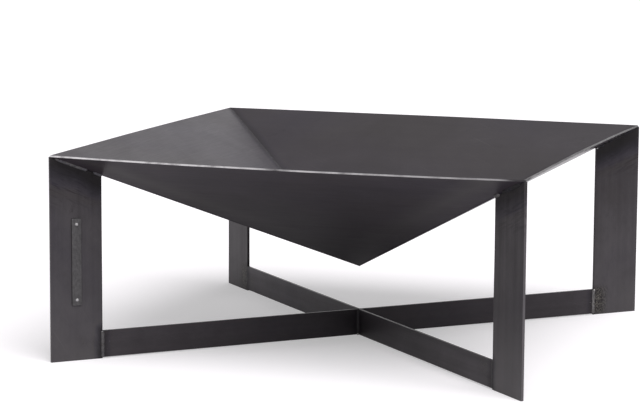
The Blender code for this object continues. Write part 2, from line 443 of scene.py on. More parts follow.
# worn and whole scale, tinted in wide drifts, with dark patches, specks and smears
def scaleColour(tree, look, marks, worn):
    colour = mixed(tree, ranged(tree, worn, *scaleFade["worn"]), look["dark"], look["pale"])
    patches = ranged(tree, marks["patches"], *scaleFade["patches"], 0.0, look["patches"])
    colour = mixed(tree, patches, colour, look["dark"])
    tint = ramp(tree, marks["drift"], [(stop, look[tone]) for tone, stop in driftStops])
    colour = mixed(tree, look["tint"], colour, tint)
    colour = mixed(tree, ranged(tree, marks["specks"], *scaleFade["specks"]), colour, look["dark"])
    smears = ranged(tree, marks["smears"], *scaleFade["smears"], 0.0, look["smudge"])
    return mixed(tree, smears, colour, soot)


# slanting strokes on the legs' heads, and scratches everywhere
def handledColour(tree, look, place, height, colour):
    strokes = grainNoise(tree, leaning(tree, place, strokeLean), *strokeNoise)
    atHead = ranged(tree, height, *scaleFade["strokeHeight"])
    strokes = times(tree, ranged(tree, strokes, *scaleFade["strokes"]), atHead)
    colour = mixed(tree, times(tree, strokes, look["headMarks"]), colour, soot)
    scratches = maths(tree, "MAXIMUM", *(scratchLines(tree, place, lean) for lean in scratchLeans))
    return mixed(tree, times(tree, scratches, look["scratches"]), colour, bareScratch)


# burnt beside a weld, then a paler fringe; reach is the way to the weld in shares of heatReach
def heatedColour(tree, look, gap, reach, colour):
    nearer = ranged(tree, gap, fringeStart, fringeMiddle)
    further = ranged(tree, gap, fringeMiddle, fringeEnd, look["fringe"], 0.0)
    colour = mixed(tree, times(tree, nearer, further), colour, look["dust"])
    burnt = ranged(tree, reach, *scaleFade["burnt"], look["heat"], 0.0)
    return mixed(tree, burnt, colour, ramp(tree, reach, heatStops))


# painted shade under the bowl, paler towards the back right corner, and dust with painted light near the
# floor
def soiledColour(tree, look, position, height, clouds, reach, colour):
    # painted shade: darker towards the middle, under the bowl
    sooty = ranged(tree, wayFromMiddle(tree, position), *scaleFade["underFire"], look["underFire"], 0.0)
    colour = mixed(tree, sooty, colour, soot)
    backRight = towardsBackRight(tree, position)
    # paler towards the back right corner
    cornerDust = ranged(tree, backRight, *scaleFade["cornerDust"], 0.0, look["cornerDust"])
    colour = mixed(tree, cornerDust, colour, look["dust"])
    patchy = ranged(tree, clouds, *scaleFade["dustClouds"])
    # dust and painted light: paler towards the floor
    dusty = times(tree, ranged(tree, height, look["dustTop"], 0.0), patchy)
    dusty = times(tree, dusty, ranged(tree, reach, *scaleFade["dustHeat"]))
    return mixed(tree, times(tree, dusty, look["dustShare"]), colour, look["dust"])


# crumbs of slag and spatter beside a foot weld
def crustedColour(tree, look, gap, height, clouds, crumbs, colour):
    besideWeld = ranged(tree, gap, *scaleFade["residueGap"])
    crusted = times(tree, besideWeld, ranged(tree, height, *scaleFade["residueHeight"]))
    clotted = ranged(tree, clouds, *scaleFade["residueClouds"], leastResidue, look["residue"])
    return mixed(tree, times(tree, crusted, clotted), colour, ramp(tree, crumbs, residueStops))


def rolledSteel(name, look):
    material, tree, shader = newMaterial(name)
    place, gap, position = rolledPlaceOf(tree), seamGapOf(tree), positionOf(tree)
    height = addNode(tree, "SeparateXYZ", {"Vector": position}).outputs["Z"]
    marks = allNoises(tree, place, scaleNoise)
    marks["streaks"] = grainNoise(tree, place, look["streak"], *streakGrain)
    clouds = grainNoise(tree, place, (look["cloud"],) * 3, *cloudGrain)
    clouded = times(tree, clouds, 1 - look["grain"])
    worn = plus(tree, clouded, times(tree, marks["streaks"], look["grain"]))
    ragged = times(tree, maths(tree, "SUBTRACT", clouds, noiseMiddle), heatRagged)
    reach = plus(tree, ranged(tree, gap, 0.0, heatReach), ragged)
    colour = scaleColour(tree, look, marks, worn)
    colour = handledColour(tree, look, place, height, colour)
    colour = heatedColour(tree, look, gap, reach, colour)
    colour = soiledColour(tree, look, position, height, clouds, reach, colour)
    colour = crustedColour(tree, look, gap, height, clouds, marks["crumbs"], colour)
    half = look["roughSpread"] / 2
    rough = ranged(tree, worn, *scaleFade["roughWear"], look["rough"] + half, look["rough"] - half)
    rough = plus(tree, rough, ranged(tree, marks["hairs"], *scaleFade["roughHairs"]))
    rough = plus(tree, rough, ranged(tree, reach, *scaleFade["roughHeat"]))
    ridges = {mark: times(tree, marks[mark], share) for mark, share in reliefShares.items()}
    relief = plus(tree, plus(tree, ridges["streaks"], ridges["hairs"]), ridges["specks"])
    fitShader(tree, shader, look, colour, rough, (relief, look["reliefShare"], look["relief"]))
    shader.inputs["Specular Tint"].default_value = (*scaleSheen, 1)
    return material


# a bare edge: the darkening share is how much darker it gets towards the back right corner, "cornerHeat" how
# black beside the welded corners
bareEdge = {
    "rim": {
        "steel": (0.64, 0.62, 0.64),
        "soiled": (0.080, 0.076, 0.080),
        "rough": 0.36,
        "metallic": 0.9,
        "gloss": 0.5,
        "smoked": 0.97,
        "cornerHeat": 0.85,
    },
    "worn": {
        "steel": (0.058, 0.054, 0.058),
        "soiled": (0.032, 0.030, 0.032),
        "rough": 0.44,
        "metallic": 0.4,
        "gloss": 0.15,
        "smoked": 0.0,
        "cornerHeat": 0.0,
    },
}
bareEdge["rimArris"] = like(
    bareEdge["rim"], steel=(0.34, 0.33, 0.34), soiled=(0.07, 0.065, 0.07), rough=0.40, metallic=0.8, gloss=0.4
)
edgeNoise = {
    "soil": ((26, 26, 26), 5, 0.6, 0.3),
    "cutMarks": ((620, 20, 20), 3, 0.6),
}
edgeFade = {
    "soil": (0.46, 0.74),
    "smoked": (-0.75, 0.2),  # metres from the middle towards the back right corner
    "heated": (-0.3, -0.05),
    "heatGap": (0.020, 0.036, 1.0, 0.0),
    "rough": (0.3, 0.7, -0.05, 0.12),
}
cutRelief = (0.5, 0.00008)


def cutSteel(name, look):
    material, tree, shader = newMaterial(name)
    marks = allNoises(tree, rolledPlaceOf(tree), edgeNoise)
    backRight = towardsBackRight(tree, positionOf(tree))
    colour = mixed(tree, ranged(tree, marks["soil"], *edgeFade["soil"]), look["steel"], look["soiled"])
    # darker towards the back right corner
    smoked = ranged(tree, backRight, *edgeFade["smoked"], 0.0, look["smoked"])
    colour = mixed(tree, smoked, colour, look["soiled"])
    heated = ranged(tree, backRight, *edgeFade["heated"], 0.0, look["cornerHeat"])
    heated = times(tree, heated, ranged(tree, seamGapOf(tree), *edgeFade["heatGap"]))
    colour = mixed(tree, heated, colour, soot)
    rough = plus(tree, ranged(tree, marks["soil"], *edgeFade["rough"]), look["rough"])
    fitShader(tree, shader, look, colour, rough, (marks["cutMarks"], *cutRelief))
    return material


# weld beads: grey in the middle, straw and blue where they cooled, with glassy brown spots
weldFinish = {
    "raw": {
        "steel": (0.095, 0.091, 0.095),
        "dull": (0.034, 0.032, 0.034),
        "straw": (0.088, 0.083, 0.080),
        "blue": (0.048, 0.048, 0.066),
        "slag": (0.026, 0.022, 0.020),
        "rough": 0.38,
        "metallic": 0.6,
        "gloss": 0.45,
    },
    # a clean last drop
    "bright": {
        "steel": (0.30, 0.29, 0.29),
        "dull": (0.16, 0.155, 0.16),
        "straw": (0.27, 0.26, 0.24),
        "blue": (0.20, 0.20, 0.24),
        "slag": (0.06, 0.055, 0.05),
        "rough": 0.34,
        "metallic": 0.8,
        "gloss": 0.5,
    },
    # left black by the heat
    "black": {
        "steel": (0.018, 0.017, 0.019),
        "dull": (0.012, 0.011, 0.012),
        "straw": (0.018, 0.016, 0.017),
        "blue": (0.018, 0.017, 0.034),
        "slag": (0.030, 0.029, 0.034),
        "rough": 0.46,
        "metallic": 0.2,
        "gloss": 0.10,
    },
    # ground nearly flush, with new scale on it
    "ground": {
        "steel": (0.031, 0.029, 0.032),
        "dull": (0.024, 0.022, 0.025),
        "straw": (0.032, 0.029, 0.029),
        "blue": (0.027, 0.026, 0.036),
        "slag": (0.020, 0.019, 0.020),
        "rough": 0.42,
        "metallic": 0.12,
        "gloss": 0.12,
    },
}
weldFinish["dull"] = like(weldFinish["raw"], gloss=0.27)
weldFinish["burnt"] = like(
    weldFinish["raw"], steel=(0.150, 0.144, 0.145), dull=(0.010, 0.009, 0.010), gloss=0.25
)
beadNoise = {
    "dulled": ((170, 170, 170), 4, 0.6),
    "temper": ((60, 60, 60), 3, 0.5, 0.8),
    "spots": ((330, 330, 330), 2, 0.5),
    "grit": ((1900, 1900, 1900), 2, 0.6),
}
beadFade = {
    "dulled": (0.42, 0.66),
    "spots": (0.64, 0.70),
    "rough": (0.35, 0.7, -0.06, 0.16),
}
temperStops = (("straw", 0.34), ("steel", 0.5), ("blue", 0.66))
temperShare = 0.38
beadRelief = (0.5, 0.00006)


def weldSteel(name, look):
    material, tree, shader = newMaterial(name)
    place = addNode(tree, "TexCoord").outputs["Object"]
    marks = allNoises(tree, place, beadNoise)
    colour = mixed(tree, ranged(tree, marks["dulled"], *beadFade["dulled"]), look["steel"], look["dull"])
    cooled = ramp(tree, marks["temper"], [(stop, look[tone]) for tone, stop in temperStops])
    colour = mixed(tree, temperShare, colour, cooled)
    colour = mixed(tree, ranged(tree, marks["spots"], *beadFade["spots"]), colour, look["slag"])
    rough = plus(tree, ranged(tree, marks["dulled"], *beadFade["rough"]), look["rough"])
    fitShader(tree, shader, look, colour, rough, (marks["grit"], *beadRelief))
    return material


# small parts: the blank name plate, its cut sides darkened as painted shade, and its rivets
smallFinish = {
    "plateSkin": {
        "dark": (0.042, 0.040, 0.042),
        "pale": (0.074, 0.071, 0.074),
        "rough": 0.42,
        "metallic": 0.4,
        "gloss": 0.5,
        "relief": 0.00007,
    },
    "rivetSkin": {
        "dark": (0.28, 0.275, 0.28),
        "pale": (0.46, 0.45, 0.46),
        "rough": 0.55,
        "metallic": 0.3,
        "gloss": 0.5,
        "relief": 0.00003,
    },
}
# darker sides: painted shadow for the gap round the plate
smallFinish["plateSide"] = like(
    smallFinish["plateSkin"], dark=(0.014, 0.013, 0.014), pale=(0.026, 0.025, 0.026), metallic=0.2
)
smallNoise = {
    "blotch": ((230, 230, 190), 5, 0.62),
    "pits": ((1500, 1500, 1500), 2, 0.6),
}
smallFade = {"blotch": (0.34, 0.66), "rough": (0.3, 0.7, 0.08, -0.06)}
pitShare = 0.45


def smallPartSteel(name, look):
    material, tree, shader = newMaterial(name)
    marks = allNoises(tree, addNode(tree, "TexCoord").outputs["Object"], smallNoise)
    colour = mixed(tree, ranged(tree, marks["blotch"], *smallFade["blotch"]), look["dark"], look["pale"])
    rough = plus(tree, ranged(tree, marks["blotch"], *smallFade["rough"]), look["rough"])
    fitShader(tree, shader, look, colour, rough, (marks["pits"], pitShare, look["relief"]))
    return material


bowlInside = rolledSteel("bowlInside", millScale["inside"])
bowlOutside = rolledSteel("bowlOutside", millScale["outside"])
bowlShinyOutside = rolledSteel("bowlShinyOutside", millScale["shinyOutside"])
# the four bars differ a little; the darker back left bar is partly painted shade, and the dust low on the
# front ones partly painted light
legStock = {"front_left": "dustier", "front_right": "satin", "back_right": "spattered", "back_left": "duller"}
legScales = {name: rolledSteel(name + "MillScale", millScale[name]) for name in legStock.values()}
railScale = rolledSteel("railMillScale", millScale["rail"])
rubbedSide = rolledSteel("rubbedSide", millScale["rubbed"])
rimCut = cutSteel("cutRim", bareEdge["rim"])
rimArris = cutSteel("rimArris", bareEdge["rimArris"])
wornEdge = cutSteel("wornEdge", bareEdge["worn"])
beadSkins = {name: weldSteel(name + "Bead", look) for name, look in weldFinish.items()}
smallSkins = {name: smallPartSteel(name, look) for name, look in smallFinish.items()}
print("finishes mixed")


def finishPiece(node, bm, materials):
    mesh = bpy.data.meshes.new(camel(node))
    bmesh.ops.recalc_face_normals(bm, faces=bm.faces)
    bm.to_mesh(mesh)
    bm.free()
    mesh.shade_smooth()
    for material in materials:
        mesh.materials.append(material)
    piece = bpy.data.objects.new(camel(node), mesh)
    scene.collection.objects.link(piece)
    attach(piece, "root")
    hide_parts(node)
    return piece


# a row of faces between two lines of points
def addStrip(bm, first, second, slotIndex):
    for a, b, c, d in zip(first, first[1:], second[1:], second):
        bm.faces.new((a, b, c, d)).material_index = slotIndex


def addSkin(bm, grid, slotIndex):
    for first, second in zip(grid, grid[1:]):
        addStrip(bm, first, second, slotIndex)


easedEdge = {"segments": 2, "sharperThan": 35}


# eases the sharp edges of a plate; the new faces take the material in that slot
def easeEdges(piece, width, slotIndex):
    ease = piece.modifiers.new("easedEdges", "BEVEL")
    ease.width = width
    ease.segments = easedEdge["segments"]
    ease.limit_method = "ANGLE"
    ease.angle_limit = math.radians(easedEdge["sharperThan"])
    ease.material = slotIndex
    ease.harden_normals = True


def nearSegment(point, start, end):
    run = end - start
    share = min(1, max(0, (point - start).dot(run) / run.length_squared))
    return (point - start - run * share).length


# "rolled" holds a point's place along and across the rolling, "seamGap" its way to the nearest weld
def paintAttributes(piece, rolledPlace, seamGap):
    mesh = piece.data
    places = [vertex.co.copy() for vertex in mesh.vertices]
    mesh.attributes.new("rolled", "FLOAT_VECTOR", "POINT")
    mesh.attributes.new("seamGap", "FLOAT", "POINT")
    rolled, gap = mesh.attributes["rolled"].data, mesh.attributes["seamGap"].data
    for index, place in enumerate(places):
        rolled[index].vector = rolledPlace(place)
        gap[index].value = seamGap(place)


# moves each plate to another stretch of the noise, so that no two look alike
def shifted(seed, steps):
    return Vector([seed * step for step in steps])


# bowl panels: how far each one's rim bows out (or in, below zero) from welding, and fine unevenness
panelShape = {
    "rows": 36,
    "columns": 110,
    "bow": {"front": 0.0036, "left": -0.0020, "back": -0.0010, "right": -0.0034},
    "buckle": 0.0006,
    "buckleWaves": 5.3,  # per metre
    "rimNotch": 0.00012,
    "rimNotches": 140,  # from the middle of the rim to its end
    "edge": 0.00035,
    "backHeat": 0.008,  # the outer faces lie this much further from the heat
    "noiseSteps": (0.031, 0.017, 0.05),
}
insideFace, rimFace, arrisFace, outsideFace = range(4)


def buildPanel(side):
    turn = sides[side]
    out, along = outward(turn), sideways(turn)
    slope, half, sheet = size["slope"], size["halfSide"], size["sheet"]
    skin = out * math.sin(slope) - up * math.cos(slope)
    rows, columns = panelShape["rows"], panelShape["columns"]
    bow = panelShape["bow"][side]

    def point(reach, share, height):
        place = out * reach + along * (reach * share) + up * height
        middle = (1 - share * share) * (reach / half)
        waves = noise.noise(place * panelShape["buckleWaves"] + Vector((turn, 0, 0)))
        buckle = waves * panelShape["buckle"]
        return place + skin * (bow * middle * reach / half + buckle * middle)

    bm = bmesh.new()
    grids = []
    for inside in (False, True):
        tipHeight = size["tip"] + (sheet / math.cos(slope) if inside else 0)
        rimReach = half - (sheet * math.sin(slope) if inside else 0)
        tipVertex = bm.verts.new((0, 0, tipHeight))
        grid = []
        for i in range(1, rows + 1):
            row = []
            for j in range(columns + 1):
                share = 2 * j / columns - 1
                reach = rimReach * i / rows
                if i == rows and 0 < j < columns:
                    notch = noise.noise(Vector((share * panelShape["rimNotches"], turn, 0)))
                    reach += notch * panelShape["rimNotch"]
                row.append(bm.verts.new(point(reach, share, tipHeight + reach * math.tan(slope))))
            grid.append(row)
        grids.append((tipVertex, grid))
        slotIndex = insideFace if inside else outsideFace
        for pair in zip(grid[0], grid[0][1:]):
            bm.faces.new((tipVertex, *pair)).material_index = slotIndex
        addSkin(bm, grid, slotIndex)
    outer, inner = (grid for _, grid in grids)
    addStrip(bm, outer[-1], inner[-1], rimFace)
    for j in (0, columns):
        outerSeam, innerSeam = ([end, *(row[j] for row in grid)] for end, grid in grids)
        addStrip(bm, outerSeam, innerSeam, insideFace)
    outerSkin = bowlShinyOutside if side == "right" else bowlOutside
    skins = (bowlInside, rimCut, rimArris, outerSkin)
    panel = finishPiece("bowl_panel_" + side, bm, skins)
    tip = up * size["tip"]
    rimHeight = up * (size["tip"] + half * math.tan(slope))
    ends = [out * half + along * half * sign + rimHeight for sign in (1, -1)]
    offset = shifted(turn, panelShape["noiseSteps"])
    surface = out * math.cos(slope) + up * math.sin(slope)

    def rolledPlace(p):
        return offset + Vector((p.dot(along), p.dot(surface), (p - tip).dot(skin)))

    def seamGap(p):
        behind = panelShape["backHeat"] if (p - tip).dot(skin) > -sheet / 2 else 0
        return min(nearSegment(p, tip, end) for end in ends) + behind

    paintAttributes(panel, rolledPlace, seamGap)
    easeEdges(panel, panelShape["edge"], arrisFace)


for side in sides:
    buildPanel(side)
print("bowl panels cut and bowed")


# legs and floor rails
barShape = {
    "step": 0.0055,
    "edge": 0.00055,
    "twist": 0.0004,
    "twistWaves": 6.1,  # per metre
    "closeUp": 0.0005,  # welded tight: nothing shows between a bar and what it meets
    "coolFeet": {"back_right": 1.7, "back_left": 1.5},  # at these feet the heat reaches less far
    "headHeat": 0.38,  # the head's heat reaches further, so its distances count as shorter; the darker leg tops are heat tint and partly painted shade under the bowl
    "legNoiseSteps": (1.7, 0.9, 0.4),
    "railNoiseSteps": (1.3, 0.7, 0.5),
    "firstRailSeed": 11,
}
flatFace, easedFace, outerFace = range(3)


# a flat bar: point(u, v) gives its middle plane, skin its thickness direction, u runs along and v across
def flatBar(node, point, skin, halfThickness, counts, seed, scale, sideScale):
    bm = bmesh.new()
    grids = []
    alongCount, acrossCount = counts
    for sign in (1, -1):
        grid = []
        for i in range(alongCount + 1):
            row = []
            for j in range(acrossCount + 1):
                place = point(i / alongCount, j / acrossCount)
                wave = noise.noise(place * barShape["twistWaves"] + Vector((seed, 0, 0)))
                row.append(bm.verts.new(place + skin * (sign * halfThickness + wave * barShape["twist"])))
            grid.append(row)
        grids.append(grid)
        addSkin(bm, grid, flatFace)
    front, back = grids
    for j in (0, acrossCount):
        addStrip(bm, [row[j] for row in front], [row[j] for row in back], outerFace if j else flatFace)
    for i in (0, alongCount):
        addStrip(bm, front[i], back[i], flatFace)
    return finishPiece(node, bm, (scale, wornEdge, sideScale))


# how many faces a bar has along and across
def barCounts(length, width):
    return round(length / barShape["step"]), round(width / barShape["step"])


def buildLeg(corner, seed):
    turn = corners[corner]
    out, across = outward(turn), sideways(turn)
    inner, outer = size["legInner"], size["legOuter"]

    def point(u, v):
        head = size["headInner"] + (size["headOuter"] - size["headInner"]) * v + barShape["closeUp"]
        return out * (inner + (outer - inner) * v) + up * head * u

    counts = barCounts(size["headOuter"], legWidth)
    scale = legScales[legStock[corner]]
    leg = flatBar("leg_" + corner, point, across, size["halfBar"], counts, seed, scale, rubbedSide)
    joint = [out * inner + up * size["railLow"], out * inner + up * size["railHigh"]]
    head = [out * inner + up * size["headInner"], out * outer + up * size["headOuter"]]
    footHeat = barShape["coolFeet"].get(corner, 1.0)
    offset = shifted(seed, barShape["legNoiseSteps"])
    paintAttributes(
        leg,
        lambda p: offset + Vector((p.z, p.dot(out), p.dot(across))),
        lambda p: min(nearSegment(p, *joint) * footHeat, nearSegment(p, *head) * barShape["headHeat"]),
    )
    easeEdges(leg, barShape["edge"], easedFace)


def buildRail(node, turn, seed):
    out, across = outward(turn), sideways(turn)
    start, end = (reach + math.copysign(barShape["closeUp"], reach) for reach in spanOf(node, out))
    low, high = size["railLow"], size["railHigh"]

    def point(u, v):
        return out * (start + (end - start) * u) + up * (low + (high - low) * v)

    counts = barCounts(end - start, high - low)
    halfThickness = spanOf(node, across)[1]
    rail = flatBar(node, point, across, halfThickness, counts, seed, railScale, railScale)
    joints = [sign * size["railEnd"] for sign in (1, -1)] + [0]
    offset = shifted(seed, barShape["railNoiseSteps"])
    paintAttributes(
        rail,
        lambda p: offset + Vector((p.dot(out), p.z, p.dot(across))),
        lambda p: min(abs(p.dot(out) - joint) for joint in joints),
    )
    easeEdges(rail, barShape["edge"], easedFace)


rails = {
    "floor_rail_through": "front_right",
    "floor_rail_front_left": "front_left",
    "floor_rail_back_right": "back_right",
}
for seed, corner in enumerate(corners, 1):
    buildLeg(corner, seed)
for seed, (node, corner) in enumerate(rails.items(), barShape["firstRailSeed"]):
    buildRail(node, corners[corner], seed)
print("legs and floor rails cut")


# welds: a ripple is one pool of the torch, its middle ahead of its toes
weldShape = {
    "pitch": 0.0027,
    "perRipple": 5,
    "fewestSteps": 6,
    "across": 8,
    "ripple": 0.0005,
    "lag": 0.0016,
    "sink": 0.00012,
    "rootSink": 0.00024,
    "wander": 0.13,
    "crownWander": 2,  # how much more the crown wanders than the toes
    "sway": (150, 7.7, 0),  # noise that moves the toes: cycles per metre, step per seed, layer
    "swell": (190, 3.1, 5),  # and the crown
    "taper": 0.8,  # in shares of the leg
    "stitchTaper": {"long": 4, "short": 1.2},
    "bluntness": 0.03,
    "groundHeight": 0.25,
    "lumpy": 3.0,  # how much rougher than the others a badly run bead is
    "inLine": 0.98,  # toes this nearly in one line lie in one face
    "seedSteps": {"corner": 100, "head": 20, "foot": 40},
}
# leg and crown of each bead
beadSize = {
    "seam": (0.0015, 0.0),
    "head": (0.0036, 0.0004),
    "foot": (0.0032, 0.0011),
    "cross": (0.0036, 0.0004),
}
spatterShape = {
    "radius": 0.0006,
    "sizes": (0.5, 1.2),
    "reach": (1.3, 3.6),  # how far from the corner line, in shares of the leg
    "flatness": 0.65,
    "atFoot": 3,  # how many there are
    "atLumpyFoot": 9,
    "atLumpyHead": 6,
    "bigDrop": 0.0021,
    "bigDropOut": 0.65,  # how far out it stands, in shares of the leg
    "bigDropInset": 0.5,  # how far from the bead's end, in shares of its radius
}
# welds that weren't left raw
notRaw = {
    "bowl_seam_weld": "ground",
    "foot_weld_front_right_left": "ground",
    "foot_weld_back_left_right": "ground",
    "head_weld_front_right_long": "black",
    "head_weld_front_left_short": "dull",
    "head_weld_front_right_short": "dull",
    "head_weld_back_right": "black",
    "foot_weld_back_right_left": "burnt",
    "cross_weld": "ground",
}
lumpyWelds = ("foot_weld_back_right_left", "head_weld_back_right_short_left")


def addSpatter(bm, place, normal, radius):
    turn = up.rotation_difference(normal).to_matrix().to_4x4()
    flattened = Matrix.Diagonal((radius, radius, radius * spatterShape["flatness"], 1))
    shape = Matrix.Translation(place) @ turn @ flattened
    bmesh.ops.create_icosphere(bm, subdivisions=2, radius=1, matrix=shape)


def waver(t, seed, pattern):
    waves, step, layer = pattern
    return noise.noise(Vector((t * waves, seed * step, layer)))


# the direction in which a drop stands off the face that toe lies in
def offFace(toe, other, crownWay):
    lean = other.dot(toe)
    onePlane = abs(lean) > weldShape["inLine"]
    return crownWay if onePlane else (other - toe * lean).normalized()


# a bead between two ends of a corner line; the toes run from that line along the two faces
# drops is how many spatter beads lie around it, dropAt is where a big drop hangs (0 start, 1 end)
def buildWeld(node, ends, toes, crownWay, bead, seed, drops=0, endTaper=weldShape["taper"], dropAt=None):
    finish = next((look for name, look in notRaw.items() if node.startswith(name)), "raw")
    flat = weldShape["groundHeight"] if finish == "ground" else 1.0
    wander = weldShape["wander"] * (weldShape["lumpy"] if node in lumpyWelds else 1.0)
    start, end = ends
    leg, crown = bead
    run = end - start
    length, way = run.length, run.normalized()
    steps = round(length / weldShape["pitch"] * weldShape["perRipple"])
    steps = max(steps, weldShape["fewestSteps"])
    across = weldShape["across"]
    startCap, endCap = leg * weldShape["taper"], leg * endTaper
    bm = bmesh.new()
    rings = []
    for k in range(steps + 1):
        t = length * k / steps
        grown = min(1, t / startCap, (length - t) / endCap)
        cap = math.sqrt(max(weldShape["bluntness"], 1 - (1 - grown) ** 2))
        sway = 1 + wander * waver(t, seed, weldShape["sway"])
        swell = 1 + weldShape["crownWander"] * wander * waver(t, seed, weldShape["swell"])
        ring = []
        for m in range(across + 1):
            share = m / across
            bell = math.sqrt(max(0, 4 * share * (1 - share)))
            phase = (t - weldShape["lag"] * bell) / weldShape["pitch"]
            ripple = abs(math.sin(math.pi * phase)) * weldShape["ripple"] * flat
            toe = toes[0].lerp(toes[1], share) * leg * sway * cap
            rise = (crown * swell * flat + ripple) * bell * cap - weldShape["sink"]
            ring.append(bm.verts.new(start + way * t + toe + crownWay * rise))
        ring.append(bm.verts.new(start + way * t - crownWay * weldShape["rootSink"]))
        rings.append(ring)
    count = len(rings[0])
    for first, second in zip(rings, rings[1:]):
        for m in range(count):
            n = (m + 1) % count
            bm.faces.new((first[m], first[n], second[n], second[m]))
    bm.faces.new(rings[0])
    bm.faces.new(list(reversed(rings[-1])))
    dice = random.Random(seed)
    for _ in range(drops):
        toe, other = dice.choice((tuple(toes), tuple(reversed(toes))))
        reach = dice.uniform(0, length)
        place = start + way * reach + toe * leg * dice.uniform(*spatterShape["reach"])
        radius = spatterShape["radius"] * dice.uniform(*spatterShape["sizes"])
        addSpatter(bm, place, offFace(toe, other, crownWay), radius)
    if dropAt is not None:
        beadFaces = set(bm.faces)
        radius = spatterShape["bigDrop"]
        inset = radius * spatterShape["bigDropInset"]
        place = start + way * (inset + (length - 2 * inset) * dropAt)
        addSpatter(bm, place + crownWay * leg * spatterShape["bigDropOut"], crownWay, radius)
        for face in set(bm.faces) - beadFaces:
            face.material_index = 1
    return finishPiece(node, bm, (beadSkins[finish], beadSkins["bright"]))


# a point on a corner line of the bowl; lift raises it to the inside of the sheets
def hipPoint(turn, reach, lift=0.0):
    return outward(turn) * reach + up * (size["tip"] + lift + reach * math.tan(hipSlope))


def buildSeamWeld(corner, wings, outOfHip, seed):
    turn, node = corners[corner], "bowl_seam_weld_" + corner
    inside = size["sheet"] / math.cos(size["slope"])
    ends = [hipPoint(turn, reach, inside) for reach in spanOf(node, outward(turn))]
    buildWeld(node, ends, wings, outOfHip, beadSize["seam"], seed)


def buildHeadWeld(corner, kind, hand, wing, outOfHip, seed):
    turn, node = corners[corner], "head_weld_{}_{}_{}".format(corner, kind, hand)
    out, across = outward(turn), sideways(turn)
    face = across * hands[hand] * size["halfBar"]
    rise = outOfHip * size["halfBar"] * math.tan(hipFlare)
    ends = [hipPoint(turn, reach) + face + rise for reach in spanOf(node, out)]
    toes = (-outOfHip, wing)
    crownWay = (wing - outOfHip).normalized()
    extras = {"drops": spatterShape["atLumpyHead"], "dropAt": 0} if node in lumpyWelds else {}
    extras["endTaper"] = weldShape["stitchTaper"][kind]
    buildWeld(node, ends, toes, crownWay, beadSize["head"], seed + len(kind), **extras)


def buildFootWeld(corner, hand, seed):
    turn, node = corners[corner], "foot_weld_{}_{}".format(corner, hand)
    out, faceWay = outward(turn), sideways(turn) * hands[hand]
    foot = out * sum(spanOf(node, out)) / 2 + faceWay * size["halfBar"]
    ends = [foot + up * height for height in spanOf(node, up)]
    extras = {"drops": spatterShape["atFoot"]}
    if node in lumpyWelds:
        extras = {"drops": spatterShape["atLumpyFoot"], "dropAt": 1}
    buildWeld(node, ends, (out, -out), faceWay, beadSize["foot"], seed, **extras)


def buildCornerWelds(corner, seed):
    out, across = outward(corners[corner]), sideways(corners[corner])
    outOfHip = out * -math.sin(hipSlope) + up * math.cos(hipSlope)
    wings = [across * sign * math.cos(hipFlare) + outOfHip * math.sin(hipFlare) for sign in (1, -1)]
    seedSteps = weldShape["seedSteps"]
    buildSeamWeld(corner, wings, outOfHip, seed)
    for (hand, sign), wing in zip(hands.items(), wings):
        for kind in ("long", "short"):
            buildHeadWeld(corner, kind, hand, wing, outOfHip, seed + seedSteps["head"] * sign)
        buildFootWeld(corner, hand, seed + seedSteps["foot"] * sign)


def buildCrossWeld(side, seed):
    node = "cross_weld_" + side
    out = outward(sides[side])
    toes = [outward(sides[side] + 45), outward(sides[side] - 45)]
    foot = out * size["halfBar"] * math.sqrt(2)
    ends = [foot + up * height for height in spanOf(node, up)]
    buildWeld(node, ends, toes, out, beadSize["cross"], seed, dropAt=0)


for seed, corner in enumerate(corners, 1):
    buildCornerWelds(corner, seed * weldShape["seedSteps"]["corner"])
for seed, side in enumerate(sides, 1):
    buildCrossWeld(side, seed)
print("welds run")


# blank name plate
plateShape = {
    "corner": 0.0016,
    "edge": 0.0007,
    "cornerSteps": 5,
    "edgeSteps": 2,
    "sharpFrom": 40,
    "sideFacing": 0.95,  # a face that looks less than this to the front is a side
}
mergeGap = 0.000002
plateOut, plateAcross = outward(corners["front_left"]), sideways(corners["front_left"])


# outline of the plate, with rounded corners
def plateOutline(halfWidth, halfHeight):
    radius, steps = plateShape["corner"], plateShape["cornerSteps"]
    outline = []
    for quarter, (signX, signY) in enumerate(((1, 1), (-1, 1), (-1, -1), (1, -1))):
        for step in range(steps + 1):
            angle = math.radians(90) * (quarter + step / steps)
            x = signX * (halfWidth - radius) + radius * math.cos(angle)
            y = signY * (halfHeight - radius) + radius * math.sin(angle)
            outline.append((x, y))
    return outline


